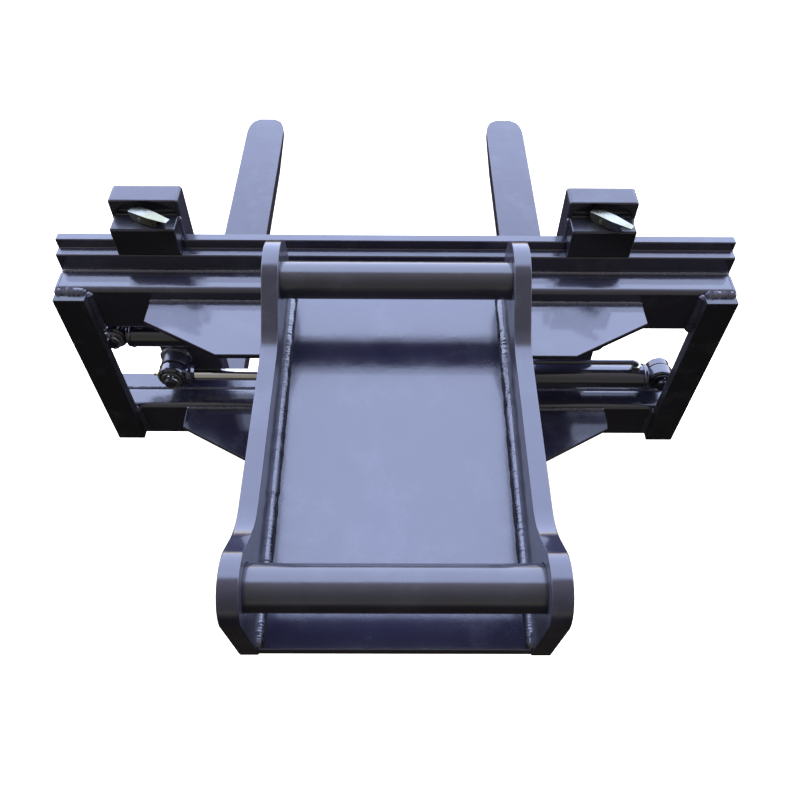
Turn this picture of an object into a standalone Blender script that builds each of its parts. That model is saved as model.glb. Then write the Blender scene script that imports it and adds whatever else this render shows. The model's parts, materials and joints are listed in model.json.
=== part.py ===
"""Pallet-fork attachment for an excavator: a two-pin hitch, a fork carriage and two sliding forks.

Everything is in metres. +X is to the right, +Y points along the forks towards their tips and +Z is up.
Local Y = 0 is the front face of the fork bars, and local Z = 0 is the underside of the forks.
The carriage empty carries that local frame, so the whole model moves with it.
"""

import math

import bmesh
import bpy
from mathutils import Matrix, Vector

GAP = 0.0003                     # clearance left between two pieces that touch

# Carriage
FRAME_WIDTH = 1.200
BAR_DEPTH = 0.038
LIP_DEPTH = 0.018
LIP_HEIGHT = 0.018
UPPER_BAR_BOTTOM = 0.450
UPPER_BAR_TOP = 0.584
LOWER_BAR_BOTTOM = 0.076
LOWER_BAR_TOP = 0.199
TUBE_DEPTH = 0.050
TUBE_HEIGHT = 0.100
TUBE_WALL = 0.006
TUBE_CORNER = 0.010
UPPER_TUBE_BOTTOM = 0.432
LOWER_TUBE_BOTTOM = 0.099
CAP_THICKNESS = 0.005
UPRIGHT_WIDTH = 0.056
UPRIGHT_DEPTH = 0.022
UPRIGHT_BOTTOM = 0.112
UPRIGHT_TOP = 0.525
GUSSET_THICKNESS = 0.010
GUSSET_TOPS = {"upper_gusset": 0.5035, "lower_gusset": 0.1915}
GUSSET_HALF_FRONT = 0.440
GUSSET_HALF_REAR = 0.305
GUSSET_STRAIGHT = 0.049
GUSSET_DEPTH = 0.126
RIB_THICKNESS = 0.012

# Hitch
EAR_INNER = 0.172                # half of the clear width between the ears
EAR_THICKNESS = 0.025
PLATE_THICKNESS = 0.015
PLATE_TILT = math.radians(5.5)   # the plate rises towards the bars
PLATE_REAR_BOTTOM = 0.5085
PLATE_FRONT = -0.125
HITCH_REAR = -0.722
REAR_PIN = (-0.690, 0.635)       # (y, z) of the pin centres
FRONT_PIN = (-0.214, 0.673)
PIN_RADIUS = 0.0285
PIN_WALL = 0.012
PIN_PROUD = 0.002
REAR_LOBE_RADIUS = 0.047
FRONT_LOBE = (-0.200, 0.655)
FRONT_LOBE_RADIUS = 0.064
FLANK_SLOPE = math.radians(40.0)
VALLEY_HEIGHTS = (0.629, 0.640)  # height of the ear's dip at its rear and front ends
VALLEY_FILLET = 0.080

# Forks
FORK_WIDTH = 0.120
FORK_THICKNESS = 0.045
FORK_LENGTH = 1.200
FORK_TOP = 0.654
FORK_TIP_THICKNESS = 0.012
FORK_TAPER_START = 1.000
HEEL_INNER_RADIUS = 0.030
HEEL_OUTER_RADIUS = 0.036
TIP_ROUNDING = 0.085
TIP_HALF_WIDTH = 0.024
FORK_CENTRES = {"left": -0.433, "right": 0.355}
HOOK_WIDTH = 0.110
HOOK_TOP = 0.624
LOWER_HOOK_BOTTOM = 0.052
POCKET_HALF_WIDTH = 0.052
POCKET_HEIGHT = 0.026
POCKET_DEPTH = 0.0115

# Fork locks
LOCK_Y = -0.0145
LOCK_FOOT = 0.5855
LOCK_FOOT_RADIUS = 0.00775
LOCK_FOOT_HEIGHT = 0.0095
STEM_RADIUS = 0.005
STEM_TOP = 0.637
LOCK_ROOF = 0.618                # top of the spring's chamber in the hook
SPRING_RADIUS = 0.0067
SPRING_WIRE = 0.0007
SPRING_TURNS = 4.0
PIVOT_Z = 0.632
RIVET_RADIUS = 0.0025
LEVER_YAWS = {"left": math.radians(-27.0), "right": math.radians(-40.0)}
LEVER_LENGTH = 0.054
LEVER_HALF_WIDTH = 0.010
LEVER_TIP_HALF_WIDTH = 0.0055
LEVER_SHEET = 0.0022
LEVER_TOP = 0.010
CAM_START = 0.0077
CAM_LIFT = 0.0153

# Fork-positioning cylinders
CYLINDER_Y = -0.045
CYLINDER_Z = {"left": 0.250, "right": 0.372}
BASE_EYE_X = 0.550
ROD_EYE_OFFSET = 0.031
BARREL_RADIUS = 0.025
BORE_RADIUS = 0.020
BARREL_START = 0.038             # distances along the cylinder from its base eye
BARREL_END = 0.593
GLAND_INNER = 0.563
GLAND_OUTER = 0.605
ROD_RADIUS = 0.0125
ROD_LENGTH_FROM_EYE = 0.611
PISTON_LENGTH = 0.040
EYE_WIDTH = 0.028
EYE_NECK_RADIUS = 0.012
BASE_EYE_RADIUS = 0.027
ROD_EYE_RADIUS = 0.029
STUD_RADIUS = 0.0125
STUD_END = -0.074
STUD_BOSS_RADIUS = 0.028
STUD_CLEARANCE = 0.0004
WASHER_RADIUS = 0.021
WASHER_THICKNESS = 0.003
CLIP_Y = -0.0695
CLIP_WIRE = 0.0015
PORT_RADIUS = 0.009
PORT_HEIGHT = 0.030
BASE_PORT = 0.056
HEAD_PORT = 0.575
PIPE_RADIUS = 0.005
PIPE_RISE = 0.002
PIPE_BEND = 0.012
PIPE_END = 0.535
LUG_HALF_WIDTH = 0.024
LUG_FRONT = -0.014
LUG_REAR = -0.030


def clear_scene():
    for item in list(bpy.data.objects):
        bpy.data.objects.remove(item, do_unlink=True)


# ---------------------------------------------------------------- materials

def make_material(name, colour, roughness, metallic):
    material = bpy.data.materials.new(name)
    material.use_nodes = True
    shader = material.node_tree.nodes["Principled BSDF"]
    shader.inputs["Base Color"].default_value = (*colour, 1.0)
    shader.inputs["Roughness"].default_value = roughness
    shader.inputs["Metallic"].default_value = metallic
    return material


FINISHES = {
    "paint": ((0.045, 0.050, 0.078), 0.35, 0.0),
    "fork_paint": ((0.050, 0.053, 0.075), 0.45, 0.0),
    "chrome": ((0.80, 0.80, 0.80), 0.08, 1.0),
    "zinc": ((0.78, 0.77, 0.68), 0.30, 1.0),
    "spring_steel": ((0.35, 0.35, 0.36), 0.35, 1.0),
}


# ---------------------------------------------------------------- outlines and meshes

def arc(centre, radius, start_deg, end_deg, steps):
    """Points on an arc, with angles measured from the first axis towards the second."""
    points = []
    for step in range(steps + 1):
        angle = math.radians(start_deg + (end_deg - start_deg) * step / steps)
        points.append((centre[0] + radius * math.cos(angle), centre[1] + radius * math.sin(angle)))
    return points


def filleted(corners, steps=4):
    """A closed outline from (a, b, radius) corners, each rounded to its own radius."""
    points = []
    for index, (a, b, radius) in enumerate(corners):
        corner = Vector((a, b))
        if radius == 0.0:
            points.append((a, b))
            continue
        before = Vector(corners[index - 1][:2]) - corner
        after = Vector(corners[(index + 1) % len(corners)][:2]) - corner
        before.normalize()
        after.normalize()
        half = before.angle(after) / 2.0
        centre = corner + (before + after).normalized() * radius / math.sin(half)
        first = corner + before * radius / math.tan(half) - centre
        last = corner + after * radius / math.tan(half) - centre
        sweep = -first.angle_signed(last)
        for step in range(steps + 1):
            ray = Matrix.Rotation(sweep * step / steps, 2) @ first
            points.append((centre.x + ray.x, centre.y + ray.y))
    return points


def rectangle(low_a, low_b, high_a, high_b, radius=0.0):
    corners = [(low_a, low_b), (high_a, low_b), (high_a, high_b), (low_a, high_b)]
    return filleted([(a, b, radius) for a, b in corners], steps=3)


def to_space(plane, a, b, depth):
    """A point of an outline in the YZ, XY or XZ plane, at a depth along the remaining axis."""
    places = {"YZ": (depth, a, b), "XY": (a, b, depth), "XZ": (a, depth, b)}
    return places[plane]


def finish_mesh(name, bm, smooth_angle=None):
    bmesh.ops.recalc_face_normals(bm, faces=bm.faces)
    mesh = bpy.data.meshes.new(name)
    bm.to_mesh(mesh)
    bm.free()
    if smooth_angle is not None:
        mesh.shade_smooth()
        mesh.set_sharp_from_angle(angle=math.radians(smooth_angle))
    return mesh


def extruded(name, plane, outline, low, high, hole=None):
    """A prism from an outline, with an optional inner outline of as many points left open."""
    bm = bmesh.new()
    rings = []
    for depth in (low, high):
        for loop in (outline, hole):
            if loop:
                rings.append([bm.verts.new(to_space(plane, a, b, depth)) for a, b in loop])
    count = len(outline)
    if hole:
        outer_low, inner_low, outer_high, inner_high = rings
        for i in range(count):
            j = (i + 1) % count
            bm.faces.new((outer_low[i], outer_low[j], inner_low[j], inner_low[i]))
            bm.faces.new((outer_high[i], outer_high[j], inner_high[j], inner_high[i]))
            bm.faces.new((outer_low[i], outer_low[j], outer_high[j], outer_high[i]))
            bm.faces.new((inner_low[i], inner_low[j], inner_high[j], inner_high[i]))
    else:
        ring_low, ring_high = rings
        bm.faces.new(ring_low)
        bm.faces.new(ring_high)
        for i in range(count):
            j = (i + 1) % count
            bm.faces.new((ring_low[i], ring_low[j], ring_high[j], ring_high[i]))
    return finish_mesh(name, bm, smooth_angle=35)


def turned(name, axis, profile, segments=32):
    """A body of revolution about X, Y or Z through the origin.

    The profile is a list of (distance along the axis, radius). With a radius of 0 at both ends it
    is solid; otherwise its last point joins its first, which leaves a bore.
    """
    frames = {
        "X": lambda along, u, v: (along, u, v),
        "Y": lambda along, u, v: (v, along, u),
        "Z": lambda along, u, v: (u, v, along),
    }
    place = frames[axis]
    bm = bmesh.new()
    rings = []
    for along, radius in profile:
        if radius == 0.0:
            rings.append([bm.verts.new(place(along, 0.0, 0.0))])
            continue
        ring = []
        for step in range(segments):
            angle = 2.0 * math.pi * step / segments
            ring.append(bm.verts.new(place(along, radius * math.cos(angle), radius * math.sin(angle))))
        rings.append(ring)
    pairs = list(zip(rings, rings[1:]))
    if len(rings[0]) > 1:
        pairs.append((rings[-1], rings[0]))
    for near, far in pairs:
        for i in range(segments):
            j = (i + 1) % segments
            if len(near) == 1:
                bm.faces.new((near[0], far[i], far[j]))
            elif len(far) == 1:
                bm.faces.new((near[i], far[0], near[j]))
            else:
                bm.faces.new((near[i], far[i], far[j], near[j]))
    return finish_mesh(name, bm, smooth_angle=35)


def swept(name, path, radius, sides=8):
    """A round wire or pipe along a list of points, with flat closed ends."""
    bm = bmesh.new()
    rings = []
    points = [Vector(point) for point in path]
    side = (points[1] - points[0]).orthogonal().normalized()
    for index, point in enumerate(points):
        ahead = points[min(index + 1, len(points) - 1)] - point
        behind = point - points[max(index - 1, 0)]
        tangent = (ahead.normalized() + behind.normalized()).normalized()
        side = (side - tangent * side.dot(tangent)).normalized()
        up = tangent.cross(side)
        ring = []
        for step in range(sides):
            angle = 2.0 * math.pi * step / sides
            ring.append(bm.verts.new(point + (side * math.cos(angle) + up * math.sin(angle)) * radius))
        rings.append(ring)
    for near, far in zip(rings, rings[1:]):
        for i in range(sides):
            j = (i + 1) % sides
            bm.faces.new((near[i], near[j], far[j], far[i]))
    bm.faces.new(rings[0])
    bm.faces.new(rings[-1])
    return finish_mesh(name, bm, smooth_angle=40)


# ---------------------------------------------------------------- objects

class Model:
    """Holds the materials and puts each piece under its empty."""

    def __init__(self):
        self.materials = {name: make_material(name, *finish) for name, finish in FINISHES.items()}

    def empty(self, name, location, parent=None):
        item = bpy.data.objects.new(name, None)
        bpy.context.scene.collection.objects.link(item)
        item.location = location
        item.parent = parent
        return item

    def piece(self, name, mesh, finish, parent, location=(0.0, 0.0, 0.0), rotation_z=0.0):
        item = bpy.data.objects.new(name, mesh)
        bpy.context.scene.collection.objects.link(item)
        item.location = location
        item.rotation_euler = (0.0, 0.0, rotation_z)
        item.parent = parent
        mesh.materials.clear()
        mesh.materials.append(self.materials[finish])
        return item

    def boolean(self, target, mesh, operation, parent, location=(0.0, 0.0, 0.0), rotation_z=0.0):
        """Cuts the target with a guide mesh, or joins the guide to it."""
        guide = bpy.data.objects.new(target.name + "_guide", mesh)
        bpy.context.scene.collection.objects.link(guide)
        guide.location = location
        guide.rotation_euler = (0.0, 0.0, rotation_z)
        guide.parent = parent
        guide.hide_render = True
        guide.display_type = "WIRE"
        modifier = target.modifiers.new(operation.lower(), "BOOLEAN")
        modifier.object = guide
        modifier.operation = operation
        modifier.solver = "EXACT"


# ---------------------------------------------------------------- carriage

def make_tubes(model, carriage):
    half = FRAME_WIDTH / 2.0
    rear = -BAR_DEPTH - GAP - TUBE_DEPTH
    front = -BAR_DEPTH - GAP
    for name, bottom in (("upper_tube", UPPER_TUBE_BOTTOM), ("lower_tube", LOWER_TUBE_BOTTOM)):
        top = bottom + TUBE_HEIGHT
        outer = rectangle(rear, bottom, front, top, TUBE_CORNER)
        inner = rectangle(
            rear + TUBE_WALL, bottom + TUBE_WALL, front - TUBE_WALL, top - TUBE_WALL, TUBE_CORNER - TUBE_WALL
        )
        end = half - CAP_THICKNESS - GAP
        model.piece(name, extruded(name, "YZ", outer, -end, end, hole=inner), "paint", carriage)
        for side, sign in (("left", -1.0), ("right", 1.0)):
            cap = name.replace("tube", side + "_cap")
            low, high = sorted((sign * (half - CAP_THICKNESS), sign * half))
            model.piece(cap, extruded(cap, "YZ", outer, low, high), "paint", carriage)


def make_fork_bars(model, carriage):
    half = FRAME_WIDTH / 2.0
    ledge = UPPER_BAR_TOP - LIP_HEIGHT
    upper = filleted([
        (-BAR_DEPTH, UPPER_BAR_BOTTOM, 0.0),
        (0.0, UPPER_BAR_BOTTOM, 0.0),
        (0.0, UPPER_BAR_TOP, 0.002),
        (-LIP_DEPTH, UPPER_BAR_TOP, 0.002),
        (-LIP_DEPTH, ledge, 0.0),
        (-BAR_DEPTH, ledge, 0.003),
    ], steps=2)
    model.piece("upper_fork_bar", extruded("upper_fork_bar", "YZ", upper, -half, half), "paint", carriage)
    ledge = LOWER_BAR_BOTTOM + LIP_HEIGHT
    lower = filleted([
        (-BAR_DEPTH, ledge, 0.003),
        (-LIP_DEPTH, ledge, 0.0),
        (-LIP_DEPTH, LOWER_BAR_BOTTOM, 0.002),
        (0.0, LOWER_BAR_BOTTOM, 0.002),
        (0.0, LOWER_BAR_TOP, 0.0),
        (-BAR_DEPTH, LOWER_BAR_TOP, 0.0),
    ], steps=2)
    model.piece("lower_fork_bar", extruded("lower_fork_bar", "YZ", lower, -half, half), "paint", carriage)


def tube_rear():
    return -BAR_DEPTH - GAP - TUBE_DEPTH


def make_uprights(model, carriage):
    front = tube_rear() - GAP
    for side, sign in (("left", -1.0), ("right", 1.0)):
        low, high = sorted((sign * (FRAME_WIDTH / 2.0 - UPRIGHT_WIDTH), sign * FRAME_WIDTH / 2.0))
        name = side + "_upright"
        outline = rectangle(low, front - UPRIGHT_DEPTH, high, front, 0.0015)
        mesh = extruded(name, "XY", outline, UPRIGHT_BOTTOM, UPRIGHT_TOP)
        model.piece(name, mesh, "paint", carriage)


def make_gussets(model, carriage):
    front = tube_rear() - GAP
    outline = [
        (GUSSET_HALF_FRONT, front),
        (-GUSSET_HALF_FRONT, front),
        (-GUSSET_HALF_FRONT, front - GUSSET_STRAIGHT),
        (-GUSSET_HALF_REAR, front - GUSSET_DEPTH),
        (GUSSET_HALF_REAR, front - GUSSET_DEPTH),
        (GUSSET_HALF_FRONT, front - GUSSET_STRAIGHT),
    ]
    for name, top in GUSSET_TOPS.items():
        model.piece(name, extruded(name, "XY", outline, top - GUSSET_THICKNESS, top), "paint", carriage)


def make_ribs(model, carriage):
    """The two upright plates between the gussets, under the ears."""
    front = tube_rear() - GAP
    rear = front - GUSSET_DEPTH
    low = GUSSET_TOPS["lower_gusset"] + GAP
    high = GUSSET_TOPS["upper_gusset"] - GUSSET_THICKNESS - GAP
    outline = filleted([
        (front, low, 0.0),
        (front, high, 0.0),
        (rear, high, 0.0),
        (rear + 0.040, (low + high) / 2.0, 0.120),
        (rear, low, 0.0),
    ], steps=6)
    for side, sign in (("left", -1.0), ("right", 1.0)):
        name = side + "_rib"
        centre = sign * (EAR_INNER + EAR_THICKNESS / 2.0)
        mesh = extruded(name, "YZ", outline, centre - RIB_THICKNESS / 2.0, centre + RIB_THICKNESS / 2.0)
        model.piece(name, mesh, "paint", carriage)


# ---------------------------------------------------------------- hitch

def ear_outline():
    """Side view of an ear: a lobe round each pin and a shallow dip between them."""
    bottom = GUSSET_TOPS["upper_gusset"] + GAP
    front = tube_rear() - GAP
    tangent_deg = 90.0 - math.degrees(FLANK_SLOPE)
    rear_lobe = arc(REAR_PIN, REAR_LOBE_RADIUS, 180.0, tangent_deg, 12)
    front_lobe = arc(FRONT_LOBE, FRONT_LOBE_RADIUS, 180.0 - tangent_deg, 0.0, 14)
    last_y, last_z = rear_lobe[-1]
    next_y, next_z = front_lobe[0]
    slope = math.tan(FLANK_SLOPE)
    dip = filleted([
        (last_y, last_z, 0.0),
        (last_y + (last_z - VALLEY_HEIGHTS[0]) / slope, VALLEY_HEIGHTS[0], VALLEY_FILLET),
        (next_y - (next_z - VALLEY_HEIGHTS[1]) / slope, VALLEY_HEIGHTS[1], VALLEY_FILLET),
        (next_y, next_z, 0.0),
    ], steps=5)[1:-1]
    lobe_front = FRONT_LOBE[0] + FRONT_LOBE_RADIUS
    foot = [(lobe_front, 0.600), (front, 0.552), (front, bottom), (HITCH_REAR, bottom)]
    return rear_lobe + dip + front_lobe + foot


def make_ears(model, carriage):
    outline = ear_outline()
    bore = [(-0.3, 0.0), (-0.3, PIN_RADIUS + GAP), (0.3, PIN_RADIUS + GAP), (0.3, 0.0)]
    for side, sign in (("left", -1.0), ("right", 1.0)):
        name = side + "_ear"
        low, high = sorted((sign * EAR_INNER, sign * (EAR_INNER + EAR_THICKNESS)))
        ear = model.piece(name, extruded(name, "YZ", outline, low, high), "paint", carriage)
        for y, z in (REAR_PIN, FRONT_PIN):
            model.boolean(ear, turned(name + "_bore", "X", bore), "DIFFERENCE", carriage, (0.0, y, z))


def make_base_plate(model, carriage):
    """The plate between the ears, which rises from their rear corners towards the bars."""
    half = EAR_INNER - GAP
    rise = (PLATE_FRONT - HITCH_REAR) * math.tan(PLATE_TILT)
    height = PLATE_THICKNESS / math.cos(PLATE_TILT)
    outline = [
        (HITCH_REAR, PLATE_REAR_BOTTOM),
        (PLATE_FRONT, PLATE_REAR_BOTTOM + rise),
        (PLATE_FRONT, PLATE_REAR_BOTTOM + rise + height),
        (HITCH_REAR, PLATE_REAR_BOTTOM + height),
    ]
    model.piece("base_plate", extruded("base_plate", "YZ", outline, -half, half), "paint", carriage)


def make_hitch_pins(model, carriage):
    end = EAR_INNER + EAR_THICKNESS + PIN_PROUD
    chamfer = 0.002
    profile = [
        (-end, PIN_RADIUS - PIN_WALL),
        (-end, PIN_RADIUS - chamfer),
        (-end + chamfer, PIN_RADIUS),
        (end - chamfer, PIN_RADIUS),
        (end, PIN_RADIUS - chamfer),
        (end, PIN_RADIUS - PIN_WALL),
    ]
    for name, (y, z) in (("front_hitch_pin", FRONT_PIN), ("rear_hitch_pin", REAR_PIN)):
        model.piece(name, turned(name, "X", profile), "paint", carriage, (0.0, y, z))


# ---------------------------------------------------------------- forks

def fork_half_width(y):
    """Half of the blade's width at a distance y from the bars, rounded off towards the tip."""
    tip = FORK_THICKNESS + FORK_LENGTH
    into = max(0.0, y - (tip - TIP_ROUNDING)) / TIP_ROUNDING
    full = FORK_WIDTH / 2.0
    return TIP_HALF_WIDTH + (full - TIP_HALF_WIDTH) * math.sqrt(max(0.0, 1.0 - into ** 2.2))


def fork_stations():
    """Pairs of (inner point, outer point, half width) from the shank's top to the blade's tip."""
    thick = FORK_THICKNESS
    bend = thick + HEEL_INNER_RADIUS
    heel = HEEL_OUTER_RADIUS
    half = FORK_WIDTH / 2.0
    top = FORK_TOP
    stations = [
        ((thick - 0.003, top), (GAP, top), half - 0.003),
        ((thick, top - 0.003), (GAP, top - 0.003), half),
    ]
    inner = arc((bend, bend), HEEL_INNER_RADIUS, 180.0, 270.0, 8)
    outer = arc((heel + GAP, heel), heel, 180.0, 270.0, 8)
    stations += [(near, far, half) for near, far in zip(inner, outer)]
    tip = thick + FORK_LENGTH
    lengths = [FORK_TAPER_START]
    lengths += [tip - TIP_ROUNDING * math.cos(math.radians(90.0 * step / 9)) for step in range(10)]
    for y in lengths:
        taper = (y - FORK_TAPER_START) / (tip - FORK_TAPER_START)
        stations.append(((y, thick), (y, (thick - FORK_TIP_THICKNESS) * taper), fork_half_width(y)))
    return stations


def fork_mesh():
    bm = bmesh.new()
    rings = []
    for (inner_y, inner_z), (outer_y, outer_z), half in fork_stations():
        rings.append([
            bm.verts.new((-half, inner_y, inner_z)),
            bm.verts.new((half, inner_y, inner_z)),
            bm.verts.new((half, outer_y, outer_z)),
            bm.verts.new((-half, outer_y, outer_z)),
        ])
    for near, far in zip(rings, rings[1:]):
        for i in range(4):
            j = (i + 1) % 4
            bm.faces.new((near[i], near[j], far[j], far[i]))
    bm.faces.new(rings[0])
    bm.faces.new(rings[-1])
    return finish_mesh("fork", bm, smooth_angle=35)


def pocket_mesh():
    """Arch-shaped relief in the shank behind the lock lever."""
    outline = []
    for step in range(17):
        angle = math.pi * step / 16
        outline.append((POCKET_HALF_WIDTH * math.cos(angle), HOOK_TOP + POCKET_HEIGHT * math.sin(angle)))
    return extruded("pocket", "XZ", outline, -0.010, POCKET_DEPTH)


def make_fork(model, side, body):
    name = side + "_fork"
    fork = model.piece(name, fork_mesh(), "fork_paint", body)
    model.boolean(fork, pocket_mesh(), "DIFFERENCE", body)


def make_hooks(model, side, body):
    half = HOOK_WIDTH / 2.0
    slot = -LIP_DEPTH - 0.0005
    rear = -BAR_DEPTH - 0.002
    above_lip = UPPER_BAR_TOP + 0.001
    above_ledge = UPPER_BAR_TOP - LIP_HEIGHT + 0.001
    upper = filleted([
        (0.0, above_lip, 0.0),
        (0.0, HOOK_TOP, 0.0),
        (rear, HOOK_TOP, 0.002),
        (rear, above_ledge, 0.002),
        (slot, above_ledge, 0.0),
        (slot, above_lip, 0.0),
    ], steps=2)
    name = side + "_upper_hook"
    hook = model.piece(name, extruded(name, "YZ", upper, -half, half), "fork_paint", body)
    chamber_radius = LOCK_FOOT_RADIUS + 0.0005
    throat_radius = STEM_RADIUS + 0.0005
    bore = [
        (UPPER_BAR_TOP + 0.0005, 0.0),
        (UPPER_BAR_TOP + 0.0005, chamber_radius),
        (LOCK_ROOF, chamber_radius),
        (LOCK_ROOF, throat_radius),
        (HOOK_TOP + 0.010, throat_radius),
        (HOOK_TOP + 0.010, 0.0),
    ]
    model.boolean(hook, turned(name + "_bore", "Z", bore, 24), "DIFFERENCE", body, (0.0, LOCK_Y, 0.0))

    below_ledge = LOWER_BAR_BOTTOM + LIP_HEIGHT - 0.001
    below_lip = LOWER_BAR_BOTTOM - 0.001
    lower = filleted([
        (0.0, below_lip, 0.0),
        (slot, below_lip, 0.0),
        (slot, below_ledge, 0.0),
        (rear, below_ledge, 0.002),
        (rear, LOWER_HOOK_BOTTOM, 0.012),
        (0.0, LOWER_HOOK_BOTTOM, 0.0),
    ], steps=3)
    name = side + "_lower_hook"
    model.piece(name, extruded(name, "YZ", lower, -half, half), "fork_paint", body)


# ---------------------------------------------------------------- fork locks

def make_lock_pin(model, side, body):
    """The sprung pin that stands on the bar's lip, with the rivet that carries the lever."""
    foot_top = LOCK_FOOT + LOCK_FOOT_HEIGHT
    profile = [
        (LOCK_FOOT, 0.0),
        (LOCK_FOOT, LOCK_FOOT_RADIUS - 0.001),
        (LOCK_FOOT + 0.001, LOCK_FOOT_RADIUS),
        (foot_top, LOCK_FOOT_RADIUS),
        (foot_top, STEM_RADIUS),
        (STEM_TOP, STEM_RADIUS),
        (STEM_TOP, 0.0),
    ]
    name = side + "_lock_pin"
    pin = model.piece(name, turned(name, "Z", profile, 24), "zinc", body)
    reach = LEVER_HALF_WIDTH + 0.0015
    rivet = [
        (-reach, 0.0),
        (-reach, RIVET_RADIUS + 0.001),
        (-LEVER_HALF_WIDTH - GAP, RIVET_RADIUS + 0.001),
        (-LEVER_HALF_WIDTH - GAP, RIVET_RADIUS),
        (LEVER_HALF_WIDTH + GAP, RIVET_RADIUS),
        (LEVER_HALF_WIDTH + GAP, RIVET_RADIUS + 0.001),
        (reach, RIVET_RADIUS + 0.001),
        (reach, 0.0),
    ]
    mesh = turned(name + "_rivet", "Y", rivet, 16)
    model.boolean(pin, mesh, "UNION", body, (0.0, 0.0, PIVOT_Z), LEVER_YAWS[side])


def make_lock_spring(model, side, body):
    """The compression spring round the stem, between the pin's foot and the chamber's roof."""
    low = LOCK_FOOT + LOCK_FOOT_HEIGHT + GAP + SPRING_WIRE
    high = LOCK_ROOF - GAP - SPRING_WIRE
    steps = int(SPRING_TURNS * 12)
    path = []
    for step in range(steps + 1):
        angle = 2.0 * math.pi * SPRING_TURNS * step / steps
        height = low + (high - low) * step / steps
        path.append((SPRING_RADIUS * math.cos(angle), SPRING_RADIUS * math.sin(angle), height))
    name = side + "_lock_spring"
    model.piece(name, swept(name, path, SPRING_WIRE, 6), "spring_steel", body, (0.0, LOCK_Y, 0.0))


def cam_outline():
    """The lever's short end, shaped so that the pin rises evenly as the lever turns up.

    Its distance from the pivot to a flat floor grows in step with the angle, from CAM_START to
    CAM_START + CAM_LIFT over a quarter turn.
    """
    rate = CAM_LIFT / (math.pi / 2.0)
    points = []
    for step in range(9):
        angle = (math.pi / 2.0) * step / 8
        reach = CAM_START + rate * angle
        along = -reach * math.sin(angle) - rate * math.cos(angle)
        height = -reach * math.cos(angle) + rate * math.sin(angle)
        points.append((along, height))
    return points


def lever_mesh():
    """A folded zinc-plated channel: two cam-shaped cheeks under a top that narrows to its tip."""
    tip = LEVER_LENGTH
    cheek = cam_outline()
    cheek += [(cheek[-1][0], LEVER_TOP), (tip, LEVER_TOP), (tip, LEVER_TOP - 0.004), (0.030, -0.006)]
    cheek += [(0.004, -0.0068)]
    return extruded("lever", "XZ", cheek, -LEVER_HALF_WIDTH, LEVER_HALF_WIDTH)


def lever_hollow_mesh():
    """The space between the cheeks, open below and at the short end."""
    inside = LEVER_HALF_WIDTH - LEVER_SHEET
    outline = [
        (-0.040, -0.020),
        (LEVER_LENGTH + 0.010, -0.020),
        (LEVER_LENGTH + 0.010, LEVER_TOP - LEVER_SHEET),
        (-0.040, LEVER_TOP - LEVER_SHEET),
    ]
    return extruded("lever_hollow", "XZ", outline, -inside, inside)


def lever_trim_mesh(sign):
    """A wedge that narrows one side of the lever towards its tip."""
    start = 0.018
    outline = [
        (start, sign * LEVER_HALF_WIDTH),
        (LEVER_LENGTH + 0.001, sign * LEVER_TIP_HALF_WIDTH),
        (LEVER_LENGTH + 0.001, sign * 0.030),
        (start, sign * 0.030),
    ]
    return extruded("lever_trim", "XY", outline, -0.020, 0.030)


def make_lock_lever(model, side, body):
    name = side + "_lock_lever"
    lever = model.piece(name, lever_mesh(), "zinc", body)
    model.boolean(lever, lever_hollow_mesh(), "DIFFERENCE", body)
    for sign in (-1.0, 1.0):
        model.boolean(lever, lever_trim_mesh(sign), "DIFFERENCE", body)
    hole = [(-0.020, 0.0), (-0.020, RIVET_RADIUS + GAP), (0.020, RIVET_RADIUS + GAP), (0.020, 0.0)]
    model.boolean(lever, turned(name + "_hole", "Y", hole, 16), "DIFFERENCE", body)


# ---------------------------------------------------------------- positioning cylinders

def stud_mesh(name, start):
    """A plain pin along -Y from its root to its rounded end."""
    chamfer = 0.0015
    profile = [
        (start, 0.0),
        (start, STUD_RADIUS),
        (STUD_END + chamfer, STUD_RADIUS),
        (STUD_END, STUD_RADIUS - chamfer),
        (STUD_END, 0.0),
    ]
    return turned(name, "Y", profile, 24)


def clip_hole_mesh(name):
    radius = CLIP_WIRE + GAP
    profile = [(-0.030, 0.0), (-0.030, radius), (0.030, radius), (0.030, 0.0)]
    return turned(name, "Z", profile, 12)


def make_retainer(model, name, parent, x, z):
    """The washer and the spring clip that keep an eye on its stud."""
    eye_rear = CYLINDER_Y - EYE_WIDTH / 2.0
    front = eye_rear - GAP
    inner = STUD_RADIUS + STUD_CLEARANCE
    profile = [
        (front, inner),
        (front, WASHER_RADIUS),
        (front - WASHER_THICKNESS, WASHER_RADIUS),
        (front - WASHER_THICKNESS, inner),
    ]
    washer = name + "_washer"
    model.piece(washer, turned(washer, "Y", profile, 24), "zinc", parent, (x, 0.0, z))
    reach = STUD_RADIUS + 0.0035
    path = [(0.0, CLIP_Y, STUD_RADIUS + 0.010), (0.0, CLIP_Y, -STUD_RADIUS - 0.004)]
    for across, height in arc((0.0, 0.0), reach, -90.0, 90.0, 10)[1:-1]:
        path.append((across, CLIP_Y, height))
    path.append((0.009, CLIP_Y, STUD_RADIUS + 0.009))
    clip = name + "_clip"
    model.piece(clip, swept(clip, path, CLIP_WIRE, 8), "zinc", parent, (x, 0.0, z))


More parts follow.
